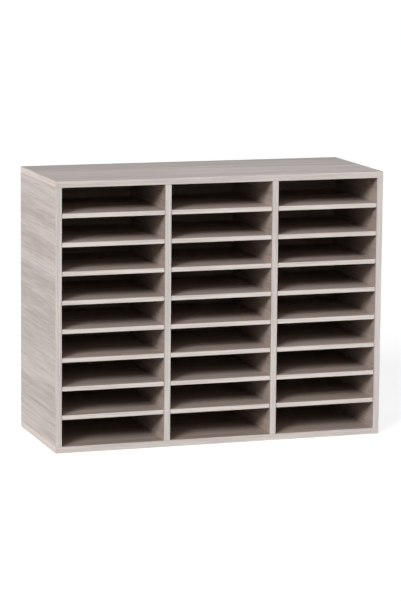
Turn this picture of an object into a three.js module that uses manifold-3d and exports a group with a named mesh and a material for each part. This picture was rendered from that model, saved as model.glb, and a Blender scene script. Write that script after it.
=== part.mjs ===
// Pigeonhole mail sorter: a carcass of laminated boards with three columns of loose shelves on steel pins.
// Millimetres, +Z up, +X to the right, and the open front faces -Y.
// The origin is the centre of the footprint, on the surface that the sorter stands on.

import * as THREE from 'three';
import { mergeVertices } from 'three/addons/utils/BufferGeometryUtils.js';
import Module from 'manifold-3d';

const wasm = await Module();
wasm.setup();

// Pigeonholes: the clear sizes between boards, counted from the top shelf down
const columnNames = ['left', 'middle', 'right'];
const shelvesPerColumn = 8;
const slotWidth = 266;
const slotDepth = 299; // from the front edges back to the back panel
const slotHeight = 61;
const topSlotHeight = 64.5;
const bottomSlotHeight = 68;

// Boards
const boardThickness = 16;
const shelfThickness = 11;
const backThickness = 6;
const backRecess = 31.5; // from the back panel's rear face to the carcass's rear edges
const grooveDepth = 7; // of the groove that holds the back panel in the outer boards
const grooveClearance = 0.3;
const arris = 0.6; // broken corner along a board's long edges
const hairline = 0.1; // gap that a butt joint keeps

// Shelf fit
const shelfEndGap = 1;
const shelfFrontSetback = 1;
const shelfBackGap = 2;

// Shelf pins: plain steel pegs pressed into the uprights, two at each end of a shelf
const pinDiameter = 5;
const pinReach = 8; // how far a pin stands out of its upright
const pinFrontInset = 37;
const pinRearInset = 37;
const seatGap = 0.2; // between a pin's top and the shelf that it carries

// Fasteners that join the uprights to the top and bottom panels
const jointFrontInset = 55;
const jointRearInset = 55;
const fastenerClearance = 0.3;
const blindSkin = 3.5; // board left beyond a blind hole
const camDiameter = 15;
const camDrop = 24; // from the upright's top edge down to the cam's axis
const camRecess = 0.3; // the cam's face lies this far below the board's face
const camCrossLength = 8;
const camCrossWidth = 1.2;
const camCrossDepth = 1.2;
const boltHeadDiameter = 7;
const boltHeadHeight = 4;
const boltNeckDiameter = 4;
const boltNeckHeight = 3;
const boltTaper = 1;
const boltShankDiameter = 6;
const dowelDiameter = 6;
const dowelInUpright = 20;
const dowelChamfer = 0.8;
const screwDiameter = 5;
const screwLength = 40;
const screwTip = 4;
const screwHeadDiameter = 9;
const screwHeadRim = 0.8;
const screwHeadHeight = 3.4;
const screwRecessDiameter = 4.4;
const screwRecessDepth = 2;
const screwSink = 0.4; // the head lies this far above the underside

// Facets of round pieces, and how far a cutter runs past the face that it opens
const roundSides = 12;
const pinSides = 8;
const camSides = 20;
const overrun = 1;

// Sizes that follow from the driving dimensions
const columnCount = columnNames.length;
const uprightCount = columnCount + 1;
const columnPitch = slotWidth + boardThickness;
const overallWidth = columnCount * columnPitch + boardThickness;
const shelfPitch = slotHeight + shelfThickness;
const innerHeight =
  bottomSlotHeight + shelvesPerColumn * shelfThickness + (shelvesPerColumn - 1) * slotHeight + topSlotHeight;
const overallHeight = innerHeight + 2 * boardThickness;
const overallDepth = slotDepth + backThickness + backRecess;
const frontY = -overallDepth / 2;
const uprightHeight = innerHeight - 2 * hairline;
const uprightBaseZ = boardThickness + hairline;
const uprightTopZ = uprightBaseZ + uprightHeight;
const topPanelZ = overallHeight - boardThickness;
const shelfWidth = slotWidth - 2 * shelfEndGap;
const shelfDepth = slotDepth - shelfFrontSetback - shelfBackGap;
const dividerDepth = slotDepth - hairline;
const backTongue = grooveDepth - grooveClearance;
const backWidth = overallWidth - 2 * boardThickness + 2 * backTongue;
const backHeight = innerHeight + 2 * backTongue;
const grooveWidth = backThickness + 2 * grooveClearance;
const backY = slotDepth + backThickness / 2;
const jointDepths = { front: jointFrontInset, rear: slotDepth - jointRearInset };
const pinDepths = [pinFrontInset, slotDepth - pinRearInset];
const dowelY = slotDepth / 2;
const blindDepth = boardThickness - blindSkin;
const camThickness = blindDepth - camRecess - fastenerClearance;
const camAxisZ = uprightTopZ - camDrop;
const boltBase = -boltHeadHeight / 2;
const boltTop = camDrop + hairline + blindDepth - fastenerClearance;
const dowelInTop = blindDepth - fastenerClearance;
const dowelLength = dowelInUpright + hairline + dowelInTop;

const uprightX = (index) => (index - columnCount / 2) * columnPitch;
const columnX = (column) => (column - (columnCount - 1) / 2) * columnPitch;
const shelfUndersideZ = (row) =>
  boardThickness + bottomSlotHeight + (shelvesPerColumn - row) * shelfPitch; // row 1 is the top shelf

const laminate = new THREE.MeshStandardMaterial({ color: 0xc4bcb5, roughness: 0.6, metalness: 0 });
const hardboard = new THREE.MeshStandardMaterial({ color: 0x9a8d80, roughness: 0.85, metalness: 0 });
const zinc = new THREE.MeshStandardMaterial({ color: 0xb4b6b8, roughness: 0.45, metalness: 1 });
const steel = new THREE.MeshStandardMaterial({ color: 0xc9cacb, roughness: 0.3, metalness: 1 });
const beech = new THREE.MeshStandardMaterial({ color: 0xd8b78d, roughness: 0.75, metalness: 0 });

// Turns a closed geometry into a manifold solid. Its shared vertices are merged and its empty triangles dropped.
function solid(geometry) {
  const bare = geometry.clone();
  bare.deleteAttribute('normal');
  bare.deleteAttribute('uv');
  const merged = mergeVertices(bare);
  const index = merged.index.array;
  const triVerts = [];
  for (let i = 0; i < index.length; i += 3) {
    const [a, b, c] = [index[i], index[i + 1], index[i + 2]];
    if (a !== b && b !== c && c !== a) triVerts.push(a, b, c);
  }
  return new wasm.Manifold(
    new wasm.Mesh({
      numProp: 3,
      vertProperties: merged.attributes.position.array,
      triVerts: new Uint32Array(triVerts),
    }),
  );
}

function geometryOf(manifold) {
  const mesh = manifold.getMesh();
  const geometry = new THREE.BufferGeometry();
  geometry.setAttribute('position', new THREE.BufferAttribute(mesh.vertProperties, 3));
  geometry.setIndex(new THREE.BufferAttribute(mesh.triVerts, 1));
  return geometry;
}

// The blank with the bosses joined to it and the cutters taken out of it.
function worked(blank, { bosses = [], cutters = [] }) {
  let body = solid(blank);
  for (const boss of bosses) body = body.add(solid(boss));
  for (const cutter of cutters) body = body.subtract(solid(cutter));
  return geometryOf(body);
}

// A rectangle centred on the origin with its corners broken by the arris.
function boardSection(width, height) {
  const [x, y] = [width / 2, height / 2];
  const corners = [
    [-x + arris, -y], [x - arris, -y], [x, -y + arris], [x, y - arris],
    [x - arris, y], [-x + arris, y], [-x, y - arris], [-x, -y + arris],
  ];
  return new THREE.Shape(corners.map(([u, v]) => new THREE.Vector2(u, v)));
}

// A board standing on its end: centred on X, from Y = 0 back to its depth and from Z = 0 up to its height.
function standingBoard(thickness, depth, height) {
  const section = boardSection(thickness, depth);
  const board = new THREE.ExtrudeGeometry(section, { depth: height, bevelEnabled: false });
  return board.translate(0, depth / 2, 0);
}

// A board lying flat: centred on X, from Y = 0 back to its depth and from Z = 0 up to its thickness.
function lyingBoard(width, depth, thickness) {
  const section = boardSection(depth, thickness);
  const board = new THREE.ExtrudeGeometry(section, { depth: width, bevelEnabled: false });
  const [alongY, alongZ, alongX] = [
    new THREE.Vector3(0, 1, 0), new THREE.Vector3(0, 0, 1), new THREE.Vector3(1, 0, 0),
  ];
  board.applyMatrix4(new THREE.Matrix4().makeBasis(alongY, alongZ, alongX));
  return board.translate(-width / 2, depth / 2, thickness / 2);
}

function rodAlongZ(diameter, x, y, fromZ, toZ) {
  const rod = new THREE.CylinderGeometry(diameter / 2, diameter / 2, toZ - fromZ, roundSides);
  return rod.rotateX(Math.PI / 2).translate(x, y, (fromZ + toZ) / 2);
}

function rodAlongX(diameter, sides, fromX, toX, y, z) {
  const rod = new THREE.CylinderGeometry(diameter / 2, diameter / 2, Math.abs(toX - fromX), sides);
  return rod.rotateZ(Math.PI / 2).translate((fromX + toX) / 2, y, z);
}

// A pin whose flats lie on its round, with one flat on top for the shelf.
function pinAlongX(fromX, toX, y, topZ) {
  const half = Math.PI / pinSides;
  const radius = pinDiameter / 2 / Math.cos(half);
  const pin = new THREE.CylinderGeometry(radius, radius, Math.abs(toX - fromX), pinSides, 1, false, half);
  return pin.rotateZ(Math.PI / 2).translate((fromX + toX) / 2, y, topZ - pinDiameter / 2);
}

// A turned piece about Z from a list of radius and height, lowest first.
function turned(profile) {
  const points = profile.map(([radius, height]) => new THREE.Vector2(radius, height));
  return new THREE.LatheGeometry(points, roundSides).rotateX(Math.PI / 2);
}

function box(sizeX, sizeY, sizeZ, x, y, z) {
  return new THREE.BoxGeometry(sizeX, sizeY, sizeZ).translate(x, y, z);
}

// Countersunk screw along Z with its head's face at Z = 0.
function screwGeometry() {
  const [head, shank] = [screwHeadDiameter / 2, screwDiameter / 2];
  return turned([
    [0, screwRecessDepth],
    [screwRecessDiameter / 2, 0],
    [head, 0],
    [head, screwHeadRim],
    [shank, screwHeadHeight],
    [shank, screwLength - screwTip],
    [0, screwLength],
  ]);
}

// The room for a screw: its outline grown by the clearance, open below its head.
function screwHole(x, y, headZ) {
  const head = screwHeadDiameter / 2 + fastenerClearance;
  const shank = screwDiameter / 2 + fastenerClearance;
  return turned([
    [0, -screwSink - overrun],
    [head, -screwSink - overrun],
    [head, screwHeadRim],
    [shank, screwHeadHeight + fastenerClearance],
    [shank, screwLength + fastenerClearance],
    [0, screwLength + fastenerClearance],
  ]).translate(x, y, headZ);
}

// Cam bolt along Z with Z = 0 at the middle of its head, on the cam's axis.
function boltGeometry() {
  const [head, neck, shank] = [boltHeadDiameter / 2, boltNeckDiameter / 2, boltShankDiameter / 2];
  const headTop = boltBase + boltHeadHeight;
  const neckTop = headTop + boltNeckHeight;
  return turned([
    [0, boltBase],
    [head, boltBase],
    [head, headTop - boltTaper],
    [neck, headTop],
    [neck, neckTop],
    [shank, neckTop + boltTaper],
    [shank, boltTop - boltTaper],
    [shank - boltTaper, boltTop],
    [0, boltTop],
  ]);
}

// Cam lock about X: its face is at X = 0 and looks along +X. The pocket for the bolt's head opens upwards.
function camGeometry() {
  const pocket = boltHeadDiameter + 2 * fastenerClearance;
  const boltX = camRecess - boardThickness / 2;
  const pocketBase = boltBase - fastenerClearance;
  const pocketHeight = camDiameter / 2 + overrun - pocketBase;
  const disc = rodAlongX(camDiameter, camSides, -camThickness, 0, 0, 0);
  return worked(disc, {
    cutters: [
      box(pocket, pocket, pocketHeight, boltX, 0, pocketBase + pocketHeight / 2),
      box(2 * camCrossDepth, camCrossLength, camCrossWidth, 0, 0, 0),
      box(2 * camCrossDepth, camCrossWidth, camCrossLength, 0, 0, 0),
    ],
  });
}

function dowelGeometry() {
  const radius = dowelDiameter / 2;
  return turned([
    [0, 0],
    [radius - dowelChamfer, 0],
    [radius, dowelChamfer],
    [radius, dowelLength - dowelChamfer],
    [radius - dowelChamfer, dowelLength],
    [0, dowelLength],
  ]);
}

// The room for a dowel, from its lower end up.
function dowelHole(x, y, baseZ) {
  const diameter = dowelDiameter + 2 * fastenerClearance;
  return rodAlongZ(diameter, x, y, baseZ - fastenerClearance, baseZ + dowelLength + fastenerClearance);
}

const isDivider = (index) => index > 0 && index < uprightCount - 1;

// The two outer uprights open to the inside of the sorter, and a divider opens to both sides.
const openFaces = (index) => [-1, 1].filter((face) => (face < 0 ? index > 0 : index < uprightCount - 1));

// Cams sit in the right-hand face of each upright but the last, whose only inner face is its left one.
const camFace = (index) => (index < uprightCount - 1 ? 1 : -1);

// Side panel or divider in its own frame: X = 0 at its middle, Y = 0 at its front and Z = 0 at its foot.
// Its shelf pins are part of it, as they are pressed in and stay in it when a shelf comes out.
function uprightGeometry(index) {
  const bosses = [];
  const cutters = [];
  const halfBoard = boardThickness / 2;
  for (const face of openFaces(index)) {
    for (let row = 1; row <= shelvesPerColumn; row++) {
      const pinTop = shelfUndersideZ(row) - seatGap - uprightBaseZ;
      for (const y of pinDepths) bosses.push(pinAlongX(0, face * (halfBoard + pinReach), y, pinTop));
    }
  }
  const face = camFace(index);
  const axisZ = camAxisZ - uprightBaseZ;
  for (const y of Object.values(jointDepths)) {
    const camHole = camDiameter + 2 * fastenerClearance;
    const boltBore = boltHeadDiameter + 2 * fastenerClearance;
    const [holeEnd, holeMouth] = [face * (halfBoard - blindDepth), face * (halfBoard + overrun)];
    cutters.push(rodAlongX(camHole, camSides, holeEnd, holeMouth, y, axisZ));
    cutters.push(rodAlongZ(boltBore, 0, y, axisZ, uprightHeight + overrun));
    cutters.push(screwHole(0, y, screwSink - uprightBaseZ));
  }
  cutters.push(dowelHole(0, dowelY, uprightHeight - dowelInUpright));
  if (!isDivider(index)) cutters.push(sideGroove(face));
  const depth = isDivider(index) ? dividerDepth : overallDepth;
  return worked(standingBoard(boardThickness, depth, uprightHeight), { bosses, cutters });
}

// The groove for the back panel in a side panel's inner face, right along its height.
function sideGroove(face) {
  const depth = grooveDepth + overrun;
  const x = face * (boardThickness / 2 + overrun - depth / 2);
  return box(depth, grooveWidth, uprightHeight + 2 * overrun, x, backY, uprightHeight / 2);
}

// The stopped groove for the back panel in the top or bottom panel, open towards the inside.
function lyingGroove(openZ, inward) {
  const depth = grooveDepth + overrun;
  const z = openZ + inward * (overrun - depth / 2);
  return box(backWidth + 2 * grooveClearance, grooveWidth, depth, 0, backY, z);
}

// Top panel, from its underside up: blind holes take the cam bolts' threads and the dowels.
function topPanelGeometry() {
  const cutters = [lyingGroove(0, -1)];
  const boltHole = boltShankDiameter + 2 * fastenerClearance;
  for (let index = 0; index < uprightCount; index++) {
    const x = uprightX(index);
    for (const y of Object.values(jointDepths)) cutters.push(rodAlongZ(boltHole, x, y, -overrun, blindDepth));
    cutters.push(dowelHole(x, dowelY, -hairline - dowelInUpright));
  }
  return worked(lyingBoard(overallWidth, overallDepth, boardThickness), { cutters });
}

// Bottom panel: countersunk holes take the screws from below.
function bottomPanelGeometry() {
  const cutters = [lyingGroove(boardThickness, 1)];
  for (let index = 0; index < uprightCount; index++) {
    for (const y of Object.values(jointDepths)) cutters.push(screwHole(uprightX(index), y, screwSink));
  }
  return worked(lyingBoard(overallWidth, overallDepth, boardThickness), { cutters });
}

const sorter = new THREE.Group();

function place(parent, name, geometry, material, x, y, z) {
  const mesh = new THREE.Mesh(geometry, material);
  mesh.name = name;
  mesh.position.set(x, y, z);
  parent.add(mesh);
  return mesh;
}

// The carcass has its front edges at Y = 0 in its own group.
const carcass = new THREE.Group();
carcass.position.y = frontY;
sorter.add(carcass);

place(carcass, 'bottom_panel', bottomPanelGeometry(), laminate, 0, 0, 0);
place(carcass, 'top_panel', topPanelGeometry(), laminate, 0, 0, topPanelZ);

const uprightName = (index) => {
  if (isDivider(index)) return `divider_${index}`;
  return index === 0 ? 'side_panel_left' : 'side_panel_right';
};
for (let index = 0; index < uprightCount; index++) {
  place(carcass, uprightName(index), uprightGeometry(index), laminate, uprightX(index), 0, uprightBaseZ);
}

const back = new THREE.BoxGeometry(backWidth, backThickness, backHeight);
place(carcass, 'back_panel', back, hardboard, 0, backY, overallHeight / 2);

// Loose shelves, one node each, lying on their four pins
const shelf = lyingBoard(shelfWidth, shelfDepth, shelfThickness);
columnNames.forEach((columnName, column) => {
  for (let row = 1; row <= shelvesPerColumn; row++) {
    place(
      carcass, `shelf_${columnName}_${row}`, shelf, laminate,
      columnX(column), shelfFrontSetback, shelfUndersideZ(row),
    );
  }
});

// Joint hardware: two cams with their bolts and a dowel at the head of each upright, two screws at its foot
const [cam, bolt, dowel, screw] = [camGeometry(), boltGeometry(), dowelGeometry(), screwGeometry()];
for (let index = 0; index < uprightCount; index++) {
  const x = uprightX(index);
  const face = camFace(index);
  const tag = uprightName(index);
  for (const [end, y] of Object.entries(jointDepths)) {
    const camX = x + face * (boardThickness / 2 - camRecess);
    const lock = place(carcass, `cam_lock_${tag}_${end}`, cam, zinc, camX, y, camAxisZ);
    lock.rotation.z = face > 0 ? 0 : Math.PI;
    place(carcass, `cam_bolt_${tag}_${end}`, bolt, steel, x, y, camAxisZ);
    place(carcass, `base_screw_${tag}_${end}`, screw, steel, x, y, screwSink);
  }
  place(carcass, `dowel_${tag}`, dowel, beech, x, dowelY, uprightTopZ - dowelInUpright);
}

export default sorter;
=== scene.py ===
import bmesh
import bpy
import numpy as np
from math import pi, radians
from mathutils.geometry import tessellate_polygon
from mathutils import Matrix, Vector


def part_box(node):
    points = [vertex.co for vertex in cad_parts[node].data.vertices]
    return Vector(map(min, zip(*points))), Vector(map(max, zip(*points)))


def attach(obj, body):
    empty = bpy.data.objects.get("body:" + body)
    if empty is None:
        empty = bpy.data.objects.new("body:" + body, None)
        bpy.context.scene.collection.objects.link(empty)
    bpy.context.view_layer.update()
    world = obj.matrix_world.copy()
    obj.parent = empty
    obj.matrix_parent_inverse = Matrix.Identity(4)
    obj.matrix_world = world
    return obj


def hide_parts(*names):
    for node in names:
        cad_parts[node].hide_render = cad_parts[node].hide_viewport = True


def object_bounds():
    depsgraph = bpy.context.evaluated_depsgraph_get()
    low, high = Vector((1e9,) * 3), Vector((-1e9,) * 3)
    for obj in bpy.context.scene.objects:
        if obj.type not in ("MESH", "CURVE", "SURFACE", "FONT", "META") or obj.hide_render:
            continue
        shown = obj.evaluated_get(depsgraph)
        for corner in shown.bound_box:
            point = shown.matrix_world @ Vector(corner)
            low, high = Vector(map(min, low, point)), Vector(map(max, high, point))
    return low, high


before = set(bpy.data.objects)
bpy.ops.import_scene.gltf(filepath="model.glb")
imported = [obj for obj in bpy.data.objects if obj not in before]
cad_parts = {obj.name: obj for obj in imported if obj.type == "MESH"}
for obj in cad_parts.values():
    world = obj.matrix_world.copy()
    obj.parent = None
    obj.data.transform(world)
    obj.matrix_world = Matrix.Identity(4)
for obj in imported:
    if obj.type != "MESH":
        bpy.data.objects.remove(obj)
cadBox = [list(corner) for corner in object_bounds()]
scene = bpy.context.scene
scene.view_settings.view_transform = "Standard"
xAxis, yAxis, zAxis = range(3)
print("frame loaded:", len(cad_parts), "nodes")


class Wire:  # one output socket; operators on it add Math nodes
    def __init__(self, finish, socket):
        self.finish, self.socket = finish, socket

    def calc(self, how, first, second):
        return self.finish.wire("ShaderNodeMath", {"operation": how}, {0: first, 1: second})

    def __add__(self, other):
        return self.calc("ADD", self, other)

    def __radd__(self, other):
        return self.calc("ADD", other, self)

    def __sub__(self, other):
        return self.calc("SUBTRACT", self, other)

    def __rsub__(self, other):
        return self.calc("SUBTRACT", other, self)

    def __mul__(self, other):
        return self.calc("MULTIPLY", self, other)

    def __rmul__(self, other):
        return self.calc("MULTIPLY", other, self)

    def __gt__(self, other):
        return self.calc("GREATER_THAN", self, other)


class Finish:  # a material under construction
    def __init__(self, name):
        self.mat = bpy.data.materials.new(name)
        self.mat.use_nodes = True
        self.tree = self.mat.node_tree
        self.tree.nodes.clear()

    def node(self, kind, settings=None, sockets=None):  # settings first, then values or links
        made = self.tree.nodes.new(kind)
        for key, value in (settings or {}).items():
            setattr(made, key, value)
        for key, value in (sockets or {}).items():
            if isinstance(value, Wire):
                self.tree.links.new(value.socket, made.inputs[key])
            else:
                made.inputs[key].default_value = value
        return made

    def wire(self, kind, settings=None, sockets=None, output=0):
        return Wire(self, self.node(kind, settings, sockets).outputs[output])

    def blend(self, amount, first, second):  # colours, amount 0 gives the first
        return self.wire("ShaderNodeMix", {"data_type": "RGBA"}, {0: amount, 6: first, 7: second}, 2)

    def ramp(self, value, low, high):  # value from low to high becomes 0 to 1, smoothly
        smooth = {"interpolation_type": "SMOOTHSTEP"}
        return self.wire("ShaderNodeMapRange", smooth, {0: value, 1: low, 2: high})

    def noise(self, vector, detail, rough, twist):
        sockets = {"Scale": 1.0, "Detail": detail, "Roughness": rough, "Distortion": twist}
        return self.wire("ShaderNodeTexNoise", None, {"Vector": vector, **sockets})

    def bump(self, height, strength, distance):
        sockets = {"Strength": strength, "Distance": distance, "Height": height}
        return self.wire("ShaderNodeBump", None, sockets)

    def painted(self, name):  # a number that the mesh carries at its points
        return self.wire("ShaderNodeAttribute", {"attribute_name": name}, None, "Fac")

    def surface(self, sockets):
        shader = self.wire("ShaderNodeBsdfPrincipled", None, sockets)
        self.node("ShaderNodeOutputMaterial", None, {"Surface": shader})
        return self.mat


def colour(r, g, b):
    return (r, g, b, 1.0)


def toned(base, *tints):  # a colour times its tints, worked out in numbers
    return colour(*np.prod([base[:3], *tints], axis=0))


boardJump = (3.1, 4.7, 2.3)  # metres that a whole unit of a board's shift moves its pattern


def objectPlace(finish):
    return finish.wire("ShaderNodeTexCoord", None, None, "Object")


def boardPlace(finish):  # object coordinates, moved by the board's own shift so that no two boards repeat
    shift = finish.painted("boardShift")
    jump = finish.wire("ShaderNodeVectorMath", {"operation": "SCALE"}, {0: boardJump, "Scale": shift})
    return finish.wire("ShaderNodeVectorMath", {"operation": "ADD"}, {0: objectPlace(finish), 1: jump})


# One stretched noise for each row of a look's layers: cycles per metre along and across the grain axis,
# then the noise's detail, roughness and twist.
def layered(finish, place, grain, layers):
    made = {}
    for name, (along, across, detail, rough, twist) in layers.items():
        scale = [across] * 3
        scale[grain] = along
        vector = finish.wire("ShaderNodeMapping", None, {"Vector": place, "Scale": scale})
        made[name] = finish.noise(vector, detail, rough, twist)
    return made


def weighed(parts, shares):  # sum of each part times its share
    terms = [share * parts[name] for name, share in shares.items()]
    return sum(terms[1:], terms[0])


def textured(finish, parts, look, sockets):  # roughness and bump by shares of the layers
    rough = look["rough"] + weighed(parts, look["roughShares"])
    bump = finish.bump(weighed(parts, look["bumpShares"]), *look["bump"])
    return finish.surface({"Roughness": rough, "Normal": bump, **sockets})


def shaded(finish, parts, look, metallic=0.0):  # the plain finish: dark to pale by shares of the layers
    tone = finish.ramp(weighed(parts, look["toneShares"]), *look["toneRange"])
    skin = finish.blend(tone, look["dark"], look["pale"])
    return textured(finish, parts, look, {"Base Color": skin, "Metallic": metallic})


laminateLook = {
    "pale": colour(0.586, 0.530, 0.496),
    "dark": colour(0.402, 0.347, 0.322),
    "line": colour(0.305, 0.262, 0.239),
    "pore": colour(0.265, 0.225, 0.203),
    "warm": (1.014, 1.0, 0.984),  # the two hues that the decor drifts between
    "cool": (0.986, 1.0, 1.010),
    "layers": {
        "fibre": (9.0, 620.0, 2.0, 0.6, 0.0),
        "streak": (3.0, 80.0, 4.0, 0.7, 0.15),
        "lines": (2.6, 240.0, 2.0, 0.55, 0.1),
        "zone": (0.9, 24.0, 2.0, 0.5, 0.4),
        "pores": (42.0, 1500.0, 1.0, 0.5, 0.0),
        "haze": (5.0, 9.0, 2.0, 0.5, 0.0),
        "drift": (1.6, 11.0, 3.0, 0.6, 0.0),
    },
    "toneShares": {"fibre": 0.24, "lines": 0.33, "streak": 0.4, "zone": 0.36, "haze": 0.08, "board": 0.03},
    "toneRange": (0.565, 0.845),
    "driftRange": (0.36, 0.64),
    "lineRange": (0.575, 0.68),
    "lineShare": 0.55,
    "poreRange": (0.6, 0.72),
    "poreStreaks": (0.60, 0.38),  # pores come as the streaks darken
    "poreShare": 0.5,
    "rough": 0.58,
    "roughShares": {"haze": 0.1, "pit": 0.14, "streak": -0.06},
    "bumpShares": {"fibre": 0.6, "streak": 0.3, "drawn": -0.5, "pit": -0.9},
    "bump": (0.35, 0.00012),  # strength, and distance in metres
    "specular": 0.12,
}
# The inside tint is painted shade: the faces inside the pigeonholes get the same decor made darker and
# warmer, for the shade that falls in them.
laminateShadeTints = {"outside": (1.0, 1.0, 1.0), "inside": (0.95, 0.885, 0.845)}


# Printed wood decor: long streaks over slow zones of tone, then sparse dark lines, fine fibres, and short
# pores where the streaks are dark.
def makeLaminate(name, grain, paintedTint, look=laminateLook):
    finish = Finish(name)
    wood = layered(finish, boardPlace(finish), grain, look["layers"])
    wood["board"] = finish.painted("boardShift")
    wood["drawn"] = finish.ramp(wood["lines"], *look["lineRange"])
    wood["pit"] = finish.ramp(wood["pores"], *look["poreRange"])
    wood["pit"] = wood["pit"] * finish.ramp(wood["streak"], *look["poreStreaks"])
    hue = finish.ramp(wood["drift"], *look["driftRange"])
    tone = finish.ramp(weighed(wood, look["toneShares"]), *look["toneRange"])

    def drifting(base):  # between the cool and the warm hue
        return finish.blend(hue, toned(base, look["cool"], paintedTint), toned(base, look["warm"], paintedTint))

    skin = finish.blend(tone, drifting(look["dark"]), drifting(look["pale"]))
    skin = finish.blend(look["lineShare"] * wood["drawn"], skin, toned(look["line"], paintedTint))
    skin = finish.blend(look["poreShare"] * wood["pit"], skin, toned(look["pore"], paintedTint))
    return textured(finish, wood, look, {"Base Color": skin, "Specular IOR Level": look["specular"]})


bandLook = {
    "pale": colour(0.681, 0.618, 0.580),
    "dark": colour(0.531, 0.478, 0.447),
    "worn": colour(0.735, 0.686, 0.655),
    "layers": {
        "fibre": (9.0, 560.0, 2.0, 0.6, 0.0),
        "streak": (5.0, 230.0, 3.0, 0.65, 0.0),
        "scuff": (30.0, 60.0, 3.0, 0.6, 0.0),
    },
    "toneShares": {"fibre": 0.4, "streak": 0.6},
    "toneRange": (0.39, 0.61),
    "wornRange": (0.4, 0.65),
    "wornShare": 0.4,
    "rough": 0.46,
    "roughShares": {"scuff": 0.12, "arris": -0.08},
    "bumpShares": {"fibre": 0.7, "streak": 0.3},
    "bump": (0.25, 0.0001),
    "specular": 0.42,
}
# The tints are painted light and shade on one edge tape: paler along the width and height, palest on the
# shelf fronts, darker and warmer on the ends along the depth.
bandKinds = {  # finish, the axis that its grain follows, and its tint
    "width": ("edgeBandAlongWidth", xAxis, (1.04, 1.035, 1.03)),
    "depth": ("edgeBandAlongDepth", yAxis, (0.935, 0.894, 0.872)),
    "height": ("edgeBandAlongHeight", zAxis, (1.07, 1.075, 1.07)),
    "shelf": ("shelfFrontBand", xAxis, (1.19, 1.19, 1.18)),
}


# Edge band: paler than the face, the grain runs along the edge, polished where the corners are rounded. Its
# tint is painted light and shade, by which way the edge faces.
def makeBand(name, grain, paintedTint, look=bandLook):
    finish = Finish(name)
    wood = layered(finish, boardPlace(finish), grain, look["layers"])
    wood["arris"] = finish.painted("arris")
    tone = finish.ramp(weighed(wood, look["toneShares"]), *look["toneRange"])
    rubbed = look["wornShare"] * wood["arris"] * finish.ramp(wood["scuff"], *look["wornRange"])
    skin = finish.blend(tone, toned(look["dark"], paintedTint), toned(look["pale"], paintedTint))
    skin = finish.blend(rubbed, skin, toned(look["worn"], paintedTint))
    return textured(finish, wood, look, {"Base Color": skin, "Specular IOR Level": look["specular"]})


coreLook = {
    "dark": colour(0.21, 0.135, 0.075),
    "pale": colour(0.56, 0.42, 0.27),
    "flakes": (520.0, 520.0, 900.0),  # per metre along each axis
    "layers": {"dust": (1300.0, 1300.0, 3.0, 0.6, 0.0)},
    "toneShares": {"flake": 0.75, "dust": 0.35},
    "toneRange": (0.15, 0.95),
    "rough": 0.8,
    "roughShares": {"dust": 0.15},
    "bumpShares": {"flake": 1.0, "dust": 0.5},
    "bump": (0.6, 0.0003),
}


def makeChipCore(name, look=coreLook):  # sawn board edge: pressed flakes and dust
    finish = Finish(name)
    place = boardPlace(finish)
    chips = layered(finish, place, xAxis, look["layers"])
    cells = finish.wire("ShaderNodeMapping", None, {"Vector": place, "Scale": look["flakes"]})
    flakes = finish.wire("ShaderNodeTexVoronoi", None, {"Vector": cells, "Scale": 1.0}, "Color")
    chips["flake"] = finish.wire("ShaderNodeSeparateColor", None, {0: flakes})
    return shaded(finish, chips, look)


glueLook = {
    "dark": colour(0.29, 0.245, 0.22),
    "pale": colour(0.50, 0.44, 0.405),
    "layers": {"dirt": (260.0, 260.0, 3.0, 0.6, 0.0)},
    "toneRange": (0.3, 0.7),
    "rough": 0.7,
    "dirtRough": 0.2,
}


def makeGlueLine(name, look=glueLook):
    finish = Finish(name)
    dirt = layered(finish, boardPlace(finish), xAxis, look["layers"])["dirt"]
    line = finish.blend(finish.ramp(dirt, *look["toneRange"]), look["dark"], look["pale"])
    return finish.surface({"Base Color": line, "Roughness": look["rough"] + look["dirtRough"] * dirt})


hardboardLook = {
    "dark": colour(0.155, 0.105, 0.07),
    "pale": colour(0.335, 0.25, 0.18),
    "layers": {
        "felt": (260.0, 340.0, 4.0, 0.65, 0.6),
        "cloud": (11.0, 14.0, 3.0, 0.55, 0.0),
    },
    "hairs": {"hair": (160.0, 1500.0, 2.0, 0.5, 1.2)},
    "screen": {"Scale": 95.0, "Distortion": 1.2, "Detail": 1.0},
    "toneShares": {"felt": 0.55, "cloud": 0.1, "hair": 0.3, "screen": 0.08},
    "toneRange": (0.33, 0.67),
    "rough": 0.72,
    "roughShares": {"felt": 0.18},
    "bumpShares": {"felt": 1.0, "hair": 0.5, "screen": 0.6},
    "bump": (0.45, 0.00025),
}


def makeHardboard(name, look=hardboardLook):  # felted brown fibre with a screen's weave pressed into it
    finish = Finish(name)
    place = boardPlace(finish)
    pulp = layered(finish, place, xAxis, look["layers"])
    pulp.update(layered(finish, place, zAxis, look["hairs"]))
    weave, cross = [finish.wire("ShaderNodeTexWave", {"wave_type": "BANDS", "bands_direction": axis},
                                {"Vector": place, **look["screen"]}, "Fac") for axis in ("X", "Z")]
    pulp["screen"] = weave * cross
    return shaded(finish, pulp, look)


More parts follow.
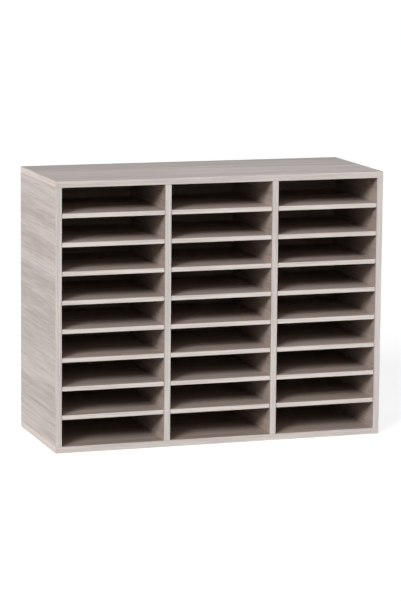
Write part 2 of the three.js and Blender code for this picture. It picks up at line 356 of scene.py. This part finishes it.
metalLook = {
    "layers": {
        "brush": (300.0, 4200.0, 2.0, 0.6, 0.0),
        "bloom": (420.0, 420.0, 3.0, 0.6, 0.0),
    },
    "toneShares": {"bloom": 0.6, "brush": 0.4},
    "toneRange": (0.32, 0.68),
    "roughShares": {"bloom": 0.22, "brush": -0.08},
    "bumpShares": {"brush": 1.0},
    "bump": (0.2, 0.00006),
}
metalKinds = {  # the drawing marks follow the grain axis
    "pinSteel": {
        "grain": xAxis, "rough": 0.24, "pale": colour(0.66, 0.66, 0.665), "dark": colour(0.43, 0.43, 0.44),
    },
    "screwSteel": {
        "grain": zAxis, "rough": 0.28, "pale": colour(0.64, 0.60, 0.50), "dark": colour(0.42, 0.38, 0.30),
    },
    "camZinc": {
        "grain": yAxis, "rough": 0.42, "pale": colour(0.50, 0.505, 0.515), "dark": colour(0.33, 0.335, 0.345),
    },
    "bradSteel": {
        "grain": yAxis, "rough": 0.38, "pale": colour(0.36, 0.34, 0.32), "dark": colour(0.20, 0.185, 0.17),
    },
}


def makeMetal(name):
    look = {**metalLook, **metalKinds[name]}
    finish = Finish(name)
    return shaded(finish, layered(finish, objectPlace(finish), look["grain"], look["layers"]), look, 1.0)


beechLook = {
    "dark": colour(0.5, 0.31, 0.165),
    "pale": colour(0.74, 0.54, 0.33),
    "layers": {
        "ray": (90.0, 1500.0, 2.0, 0.6, 0.0),
        "cloud": (30.0, 120.0, 2.0, 0.5, 0.0),
    },
    "toneShares": {"ray": 0.6, "cloud": 0.4},
    "toneRange": (0.35, 0.65),
    "rough": 0.7,
    "roughShares": {"cloud": 0.15},
    "bumpShares": {"ray": 1.0},
    "bump": (0.4, 0.0002),
}


def makeBeech(name, look=beechLook):
    finish = Finish(name)
    return shaded(finish, layered(finish, objectPlace(finish), zAxis, look["layers"]), look)


faceAlongX = makeLaminate("laminateAlongWidth", xAxis, laminateShadeTints["outside"])
faceAlongY = makeLaminate("laminateAlongDepth", yAxis, laminateShadeTints["outside"])
# painted shade: darker, warmer copies of the laminate for every face inside the pigeonholes
shadedInsideAlongX = makeLaminate("shadedInsideLaminateAlongWidth", xAxis, laminateShadeTints["inside"])
shadedInsideAlongY = makeLaminate("shadedInsideLaminateAlongDepth", yAxis, laminateShadeTints["inside"])
bands = {edge: makeBand(*kind) for edge, kind in bandKinds.items()}
chipCore = makeChipCore("chipCore")
glueLine = makeGlueLine("glueLine")
hardboard = makeHardboard("hardboard")
metals = {name: makeMetal(name) for name in metalKinds}
beech = makeBeech("dowelBeech")
print("finishes made:", len(bpy.data.materials))

meshDetail = {
    "weld": 0.000001,  # points nearer than this, as at the boards' sharp corners, become one
    "crease": 32.0,    # degrees; a turned piece is smooth up to this angle
}


def addPiece(name, points, faces, materials, body, stands=(),
             materialIndex=None, smooth=None, attributes=None):
    mesh = bpy.data.meshes.new(name)
    mesh.from_pydata(np.asarray(points).reshape(-1, 3).tolist(), [], faces)
    for material in materials:
        mesh.materials.append(material)
    if materialIndex is not None:
        mesh.polygons.foreach_set("material_index", np.asarray(materialIndex, np.int32))
    mesh.polygons.foreach_set("use_smooth", np.array([True] * len(faces) if smooth is None else smooth))
    for key, values in (attributes or {}).items():
        mesh.attributes.new(key, "FLOAT", "POINT").data.foreach_set("value", np.asarray(values, np.float32))
    welded = bmesh.new()
    welded.from_mesh(mesh)
    bmesh.ops.remove_doubles(welded, verts=welded.verts, dist=meshDetail["weld"])
    welded.to_mesh(mesh)
    welded.free()
    mesh.update()
    if smooth is None:
        mesh.set_sharp_from_angle(angle=radians(meshDetail["crease"]))
    piece = bpy.data.objects.new(name, mesh)
    scene.collection.objects.link(piece)
    if body:
        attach(piece, body)
    if stands:
        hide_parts(*stands)
    return piece


def gridFaces(rows, columns):  # quads of a grid, row by row, closed round the columns
    i, j = np.meshgrid(np.arange(rows - 1), np.arange(columns), indexing="ij")
    k = (j + 1) % columns
    return np.stack([i * columns + j, i * columns + k, (i + 1) * columns + k, (i + 1) * columns + j], -1)


def fullTurn(sides):  # angles spaced evenly round an axis
    return np.linspace(0, 2 * pi, sides, endpoint=False)


# A turned piece: ring k has radius r(k) at height h(k) along the axis, and a point of it is
# centre + h axis + r (cos t u + sin t v). The rings are copied to every centre, and both ends are closed.
# radius and height have one value for each ring, or one for each ring and angle.
# A bore faces its axis and is open at its first ring. first is the number of the first point.
def turned(radius, height, centres, axis, angles, bore=False, first=0):
    axis = np.array(axis, float)
    u = np.roll(np.abs(axis), 1)
    v = np.cross(axis, u)
    columns, rings = len(angles), len(radius)
    radius = np.reshape(radius, (rings, -1)) * np.ones(columns)
    height = np.reshape(height, (rings, -1)) * np.ones(columns)
    across = (radius * np.cos(angles))[..., None] * u + (radius * np.sin(angles))[..., None] * v
    centres = np.atleast_2d(centres)
    points = centres[:, None, None, :] + across + height[..., None] * axis
    count = rings * columns
    quads = gridFaces(rings, columns).reshape(-1, 4)
    start, end = np.arange(columns)[::-1], np.arange(columns) + count - columns
    sheets = [quads[:, ::-1], end[None, ::-1]] if bore else [quads, start[None], end[None]]
    faces = []
    for copy in range(len(centres)):
        for sheet in sheets:
            faces += (sheet + first + copy * count).tolist()
    return points, faces


boardDetail = {
    "arris": 0.0009,   # radius along banded edges
    "sawn": 0.00015,   # the same along sawn edges
    "corner": 0.0002,  # radius of the outline's corners
    "arrisSteps": 3,
    "cornerSteps": 4,
    "glueWidth": 0.00022,
    "boreSides": 48,
}


# A board is a profile carried round a rounded rectangle. Ring k lies at height h(k) and is the outline moved
# in by o(k). On an arris of radius r, o = r(1 - sin t) and h = r(1 - cos t) for t from 0 to a right angle.
# Each side has its own r: a column of the grid takes o from the sides that meet at its corner, and h from its
# own side.
def boardSurface(low, high, thin, arris, corner):
    d = boardDetail
    alongA, alongB = (thin + 1) % 3, (thin + 2) % 3
    half, middle = (high - low) / 2, (low + high) / 2
    thick = high[thin] - low[thin]
    steps = d["cornerSteps"] + 1
    t = np.linspace(0, pi / 2, d["arrisSteps"] + 1)[:, None, None]
    corners = np.arange(4)[:, None]
    angle = np.linspace(0, pi / 2, steps) + (pi / 2) * corners
    signA, signB = np.array([1, -1, -1, 1])[:, None], np.array([1, 1, -1, -1])[:, None]
    own = np.where(np.arange(steps) < steps / 2, (corners - 1) % 4, corners)  # the side that a column is on
    radiusA, radiusB, radiusOwn = arris[[3, 1, 1, 3]][:, None], arris[[0, 0, 2, 2]][:, None], arris[own]

    def inset(radius):
        inward = radius * (1 - np.sin(t))
        lip = (radius + d["glueWidth"])[None] * np.ones_like(inward[:1])
        return np.concatenate([lip, inward, inward[::-1], lip])

    rise = radiusOwn * (1 - np.cos(t))
    h = np.concatenate([0 * rise[:1], rise, thick - rise[::-1], thick + 0 * rise[:1]])
    oA, oB = inset(radiusA), inset(radiusB)
    a = signA * (half[alongA] - np.maximum(corner, oA)) + np.maximum(corner - oA, 0) * np.cos(angle)
    b = signB * (half[alongB] - np.maximum(corner, oB)) + np.maximum(corner - oB, 0) * np.sin(angle)
    rows = len(h)
    points = np.zeros((rows, 4 * steps, 3))
    points[..., alongA] = a.reshape(rows, -1) + middle[alongA]
    points[..., alongB] = b.reshape(rows, -1) + middle[alongB]
    points[..., thin] = h.reshape(rows, -1) + low[thin]
    worn = np.zeros(rows)  # 1 on the rings within an arris
    worn[2:d["arrisSteps"] + 1] = worn[-d["arrisSteps"] - 1:-2] = 1.0
    return points, np.repeat(worn, 4 * steps), own.ravel()


def boredCap(points, outline, mouths, thin, outward):  # triangles that fill the outline round the mouths
    loops = [outline, *mouths]
    filled = tessellate_polygon([points[loop].tolist() for loop in loops])
    filled = np.concatenate(loops)[np.array(filled)]
    first, second, third = points[filled].swapaxes(0, 1)
    normal = np.cross(second - first, third - first)[:, thin]
    return np.where((normal * outward < 0)[:, None], filled[:, ::-1], filled).tolist()


# faces: finish of the low and of the high face.
# edges: what each side of the outline has, in the order +b, -a, -b, +a: a band's name, or None for sawn core.
# bores: face that they open in (0 low, 1 high), the middles of their mouths, and their radius and depth from
# mouth to floor.
def addBoard(name, low, high, thin, faces, edges, body, node, shift,
             arris=None, corner=None, bores=None):
    d = boardDetail
    low, high = np.array(low), np.array(high)
    radius = np.array([arris or (d["sawn"] if edge is None else d["arris"]) for edge in edges])
    points, worn, side = boardSurface(low, high, thin, radius, corner or d["corner"])
    rows, columns = points.shape[:2]
    points = points.reshape(-1, 3)

    used = sorted({edge for edge in edges if edge})
    materials = [faces[0], chipCore, glueLine, faces[1]] + [bands[edge] for edge in used]
    lowFace, core, glue, highFace, firstBand = range(5)
    sideMaterial = [core if edge is None else firstBand + used.index(edge) for edge in edges]
    sideMaterial = np.array(sideMaterial)[side]
    index = np.tile(sideMaterial, (rows - 1, 1))
    index[0] = np.where(sideMaterial == core, lowFace, glue)
    index[-1] = np.where(sideMaterial == core, highFace, glue)
    smooth = np.ones((rows - 1, columns), bool)
    smooth[0] = smooth[-1] = False
    smooth[(rows - 1) // 2, d["cornerSteps"]::d["cornerSteps"] + 1] = False  # flat stretches of the edge
    polygons = gridFaces(rows, columns).reshape(-1, 4).tolist()
    index, smooth = index.ravel().tolist(), smooth.ravel().tolist()

    ring = np.arange(columns)
    outlines = [ring[::-1], ring + (rows - 1) * columns]
    caps = [[outline.tolist()] for outline in outlines]
    if bores:
        cap, centres, boreRadius, boreDepth = bores
        outward = 2 * cap - 1
        inward = np.zeros(3)
        inward[thin] = -outward
        around = fullTurn(d["boreSides"])
        skin, walls = turned(boreRadius, boreDepth, centres, inward, around, True, len(points))
        # numbers of the points round each mouth, the first ring of its bore
        mouths = len(points) + np.arange(skin[..., 0].size).reshape(skin.shape[:3])[:, 0]
        points = np.concatenate([points, skin.reshape(-1, 3)])
        caps[cap] = boredCap(points, outlines[cap], mouths, thin, outward)
        polygons += walls
        index += [core] * len(walls)
        smooth += [len(wall) == 4 for wall in walls]  # the floor stays flat
    for cap, material in zip(caps, (lowFace, highFace)):
        polygons += cap
        index += [material] * len(cap)
        smooth += [False] * len(cap)

    worn = np.concatenate([worn, np.zeros(len(points) - len(worn))])
    return addPiece(name, points, polygons, materials, body, [node], index, smooth,
                    {"arris": worn, "boardShift": np.full(len(points), shift)})


cameraLook = {
    "place": (-2.21882, -6.66012, 1.50004),
    "turn": (80.6128, -0.4809, -18.3504),  # degrees
    "lens": 166.076,
    "sensor": 36.0,  # height of the picture on the sensor, in millimetres as the lens
    "reach": 60.0,   # metres that it sees to
}
lens = bpy.data.cameras.new("photoCamera")
lens.sensor_fit, lens.sensor_height, lens.lens = "VERTICAL", cameraLook["sensor"], cameraLook["lens"]
lens.clip_end = cameraLook["reach"]
camera = bpy.data.objects.new("photoCamera", lens)
camera.location = cameraLook["place"]
camera.rotation_euler = [radians(v) for v in cameraLook["turn"]]
scene.collection.objects.link(camera)
scene.camera = camera

lampLook = {  # direction towards the lamp, light on a surface square to it, spread in degrees
    "keyLamp": ((-0.60, -0.62, 0.50), 0.69, 22.0),
    "sideLamp": ((-0.80, 0.58, 0.12), 0.61, 20.0),
    "lowLamp": ((0.70, -0.40, -0.59), 0.84, 12.0),  # like light thrown up by a white table
}
lampDistance = 6.0
barLook = {"place": (0.0, -0.24, 1.18), "size": (1.3, 0.08), "power": 1.65, "colour": (0.94, 0.95, 1.08)}


def addLamp(name, kind, place):
    lamp = bpy.data.lights.new(name, kind)
    holder = bpy.data.objects.new(name, lamp)
    holder.location = place
    scene.collection.objects.link(holder)
    return lamp, holder


for name, (toLamp, strength, spread) in lampLook.items():
    toLamp = np.array(toLamp) / np.linalg.norm(toLamp)
    lamp, holder = addLamp(name, "SUN", lampDistance * toLamp)
    lamp.energy, lamp.angle = strength * pi, radians(spread)
    holder.rotation_euler = (np.arccos(toLamp[2]), 0, np.arctan2(toLamp[1], toLamp[0]) + pi / 2)
bar, holder = addLamp("barLamp", "AREA", barLook["place"])  # hangs over the front edge and looks down
bar.shape, bar.size, bar.size_y = "RECTANGLE", *barLook["size"]
bar.energy, bar.color = barLook["power"], barLook["colour"]
holder.visible_camera = False


def seenDirectly(finish):  # 1 for the camera and for mirror or glass rays
    path = finish.node("ShaderNodeLightPath")
    names = ("Is Camera Ray", "Is Glossy Ray", "Is Transmission Ray")
    eye, mirror, glass = [Wire(finish, path.outputs[name]) for name in names]
    return (eye + mirror + glass) > 0.5


class Sky(Finish):
    def __init__(self, name):
        world = bpy.data.worlds.new(name)
        world.use_nodes = True
        scene.world = world
        self.tree = world.node_tree
        self.tree.nodes.clear()


white = colour(1, 1, 1)
skyLook = {"level": 0.085}  # light that the sky gives; what shows of it is white
sky = Sky("studioSky")
level = skyLook["level"] + (1.0 - skyLook["level"]) * seenDirectly(sky)
glow = sky.wire("ShaderNodeBackground", None, {"Color": white, "Strength": level})
sky.node("ShaderNodeOutputWorld", None, {"Surface": glow})

# The camera sees a white floor that still takes the shadow; the light that it throws back is less.
floorLook = {
    "size": 40.0,
    "drop": 0.0002,  # below the sorter's underside
    "seen": colour(0.9, 0.9, 0.9),
    "bounce": colour(0.2, 0.2, 0.2),
    "glow": 1.36,
    "glowShare": 0.62,
}
ground = Finish("studioFloor")
seen = seenDirectly(ground)
matt = ground.blend(seen, floorLook["bounce"], floorLook["seen"])
matt = ground.wire("ShaderNodeBsdfDiffuse", None, {"Color": matt})
shine = ground.wire("ShaderNodeEmission", None, {"Color": white, "Strength": floorLook["glow"]})
mixed = ground.wire("ShaderNodeMixShader", None, {0: floorLook["glowShare"] * seen, 1: matt, 2: shine})
ground.node("ShaderNodeOutputMaterial", None, {"Surface": mixed})
# flat square: (half u, half v, -drop) for u and v from -1 to 1
u, v = np.meshgrid(np.linspace(-1, 1, 2), np.linspace(-1, 1, 2), indexing="ij")
half = floorLook["size"] / 2
square = np.stack([half * u, half * v, np.full_like(u, -floorLook["drop"])], -1)
floor = addPiece("studioFloor", square, [[0, 2, 3, 1]], [ground.mat], None, smooth=[False])
floor.visible_shadow = False  # lets the low lamp through
print("camera, lamps and floor set")

carcassDetail = {
    "thick": 0.016,
    "uprights": ("side_panel_left", "divider_1", "divider_2", "side_panel_right"),
    "ends": ("front", "rear"),
    "outerCorner": 0.0012,
    "backArris": 0.0003,
}
camBore = {"radius": (0.00765, 0.00765), "depth": (0.0, 0.0128)}
screwSink = {"radius": (0.0049, 0.0049, 0.0029), "depth": (0.0, 0.0008, 0.0042)}
stickerDetail = {
    "radius": (0.009, 0.009, 0.008912, 0.00878),  # a flat disc with a small round at its rim
    "height": (-0.00002, 0.000132, 0.000198, 0.00022),
    "sides": 40,
    "grainStep": 0.011,  # the sticker's decor is a little out of step with the board's
}
shade = np.random.default_rng(11)  # gives each board its own shift


def centreOf(node):
    return np.mean(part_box(node), axis=0)


uprights, ends = carcassDetail["uprights"], carcassDetail["ends"]
screwNodes = [f"base_screw_{upright}_{end}" for upright in uprights for end in ends]
allBanded = ("width", "depth", "width", "depth")
low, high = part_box("top_panel")
addBoard("top_panel_board", low, high, zAxis, (shadedInsideAlongX, faceAlongX), allBanded, "carcass",
         "top_panel", shade.random(), corner=carcassDetail["outerCorner"])
low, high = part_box("bottom_panel")
mouths = np.array([[*centreOf(node)[:2], low[2]] for node in screwNodes])
addBoard("bottom_panel_board", low, high, zAxis, (faceAlongX, shadedInsideAlongX), allBanded, "carcass",
         "bottom_panel", shade.random(), corner=carcassDetail["outerCorner"],
         bores=(0, mouths, screwSink["radius"], screwSink["depth"]))

# The CAD solid of an upright is wider by its pins. An outer one keeps its outer face, a divider its middle.
outerFace = {"side_panel_left": 0, "side_panel_right": 1}
uprightFaces = {}
for node in uprights:
    low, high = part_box(node)
    thick = carcassDetail["thick"]
    outer = outerFace.get(node)
    if outer == 0:
        high[0] = low[0] + thick
    elif outer == 1:
        low[0] = high[0] - thick
    else:
        middle = (low[0] + high[0]) / 2
        low[0], high[0] = middle - thick / 2, middle + thick / 2
    uprightFaces[node] = (low[0], high[0])
    shift = shade.random()
    decor = [faceAlongY if side == outer else shadedInsideAlongY for side in (0, 1)]
    rear = None if outer is None else "height"
    camSide = 0 if outer == 1 else 1
    mouths = np.array([centreOf(f"cam_lock_{node}_{end}") for end in ends])
    mouths[:, 0] = uprightFaces[node][camSide]
    # thin along X: a is Y and b is Z, so the sides are +Z, front, -Z, rear
    addBoard(node + "_board", low, high, xAxis, decor, (None, "height", None, rear), "carcass", node,
             shift, bores=(camSide, mouths, camBore["radius"], camBore["depth"]))
    # a sticker in the same decor over each cam
    points, faces = turned(stickerDetail["radius"], stickerDetail["height"], mouths,
                           (2 * camSide - 1, 0, 0), fullTurn(stickerDetail["sides"]))
    grain = np.full(points.size // 3, shift + stickerDetail["grainStep"])
    addPiece(f"cam_stickers_{node}", points, faces, [shadedInsideAlongY], "carcass", (),
             attributes={"boardShift": grain})

low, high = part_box("back_panel")
addBoard("back_panel_sheet", low, high, yAxis, (shadedInsideAlongX, hardboard), (None,) * 4, "carcass",
         "back_panel", shade.random(), carcassDetail["backArris"])
backLow, backHigh = low, high
print("carcass boards made")

shelfDetail = {"columns": ("left", "middle", "right"), "rows": range(1, 9)}
pinDetail = {
    "fromEnds": 0.037,  # from the front edge and from the back panel
    "below": 0.0027,    # axis below the shelf
    "radius": (0.0032, 0.0032, 0.0030, 0.0025, 0.0025, 0.0019),
    "reach": (-0.0006, 0.0005, 0.0007, 0.0007, 0.0074, 0.0080),
    "sides": 14,
}
pinY = np.array([cadBox[0][1] + pinDetail["fromEnds"], backLow[1] - pinDetail["fromEnds"]])
pinZ = np.array([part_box(f"shelf_left_{row}")[0][2] for row in shelfDetail["rows"]]) - pinDetail["below"]
y, z = [grid.ravel() for grid in np.meshgrid(pinY, pinZ)]
for node in uprights:
    for side, word in enumerate(("left", "right")):
        if side == outerFace.get(node):
            continue  # the outer faces have none
        sockets = np.stack([np.full_like(y, uprightFaces[node][side]), y, z], -1)
        points, faces = turned(pinDetail["radius"], pinDetail["reach"], sockets,
                               (2 * side - 1, 0, 0), fullTurn(pinDetail["sides"]))
        addPiece(f"shelf_pins_{node}_{word}", points, faces, [metals["pinSteel"]], "carcass", ())
print("shelf pins made")

screwDetail = {
    "crossReach": 0.0024,
    "crossHalf": 0.00065,
    "between": (0.45, 0.62),  # angles of the points between two arms
    # share of the cross, radius and height of each ring, from the recess's floor out to the rim and the cone
    "head": (
        (0.72, 0.0, 0.0019),
        (0.98, 0.0, 0.00008),
        (1.04, 0.0, 0.0),
        (0.52, 0.0021, 0.0),
        (0.0, 0.0042, 0.0),
        (0.0, 0.0044, 0.00008),
        (0.0, 0.0045, 0.00025),
        (0.0, 0.0045, 0.0008),
        (0.0, 0.0025, 0.0034),
    ),
    "point": ((0.0, 0.0025, -0.004), (0.0, 0.0006, 0.0)),  # the same, with heights from the tip
}


# Screw head seen from below: every ring is r = share c + radius, where c is the outline of the cross,
# c = min(reach / cos a, half / |sin a|), a being the angle from the nearest arm.
def screwProfile(high):
    d = screwDetail
    tip = np.arctan(d["crossHalf"] / d["crossReach"])
    beside = np.array([tip / 2, tip, *d["between"]])
    arm = np.concatenate([[-pi / 4], -beside[::-1], [0.0], beside])  # angles of the points round one arm
    angles = (arm + (pi / 2) * np.arange(4)[:, None]).ravel()
    a = np.tile(arm, 4)
    tiny = 1e-6  # keeps the middle of an arm from dividing by nothing
    cross = np.minimum(d["crossReach"] / np.cos(a), d["crossHalf"] / np.maximum(np.abs(np.sin(a)), tiny))
    rings = np.concatenate([d["head"], np.array(d["point"]) + (0.0, 0.0, high)])
    return rings[:, :1] * cross + rings[:, 1:2], rings[:, 2], angles


for node in screwNodes:
    low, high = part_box(node)
    seat = np.array([*centreOf(node)[:2], low[2]])
    radius, height, angles = screwProfile(high[2] - low[2])
    points, faces = turned(radius, height, seat, (0, 0, 1), angles)
    addPiece(node + "_fine", points, faces, [metals["screwSteel"]], "carcass", [node])

bradDetail = {
    "rows": 6,
    "fromEnds": 0.06,
    "radius": (0.0005, 0.0005, 0.0017, 0.0017, 0.0013, 0.0006),
    "reach": (-0.004, -0.0001, -0.0001, 0.0002, 0.0005, 0.0006),
    "sides": 16,
}
z = np.linspace(backLow[2] + bradDetail["fromEnds"], backHigh[2] - bradDetail["fromEnds"], bradDetail["rows"])
for node in ("divider_1", "divider_2"):
    heads = np.stack([np.full_like(z, np.mean(uprightFaces[node])), np.full_like(z, backHigh[1]), z], -1)
    points, faces = turned(bradDetail["radius"], bradDetail["reach"], heads, (0, 1, 0),
                           fullTurn(bradDetail["sides"]))
    addPiece(f"back_panel_brads_{node}", points, faces, [metals["bradSteel"]], "carcass", ())
print("screws and brads made")

# hardware that keeps its CAD shape
hardwareFinish = {"cam_lock": metals["camZinc"], "cam_bolt": metals["screwSteel"], "dowel": beech}
for name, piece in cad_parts.items():
    for kind, finish in hardwareFinish.items():
        if name.startswith(kind):
            for slot in piece.material_slots:
                slot.material = finish
print("cams, bolts and dowels finished")

for column in shelfDetail["columns"]:
    for row in shelfDetail["rows"]:
        node = f"shelf_{column}_{row}"
        low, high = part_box(node)
        addBoard(node + "_board", low, high, zAxis, (shadedInsideAlongX, shadedInsideAlongX), (None, None, "shelf", None),
                 node, node, shade.random())
print("shelves made")
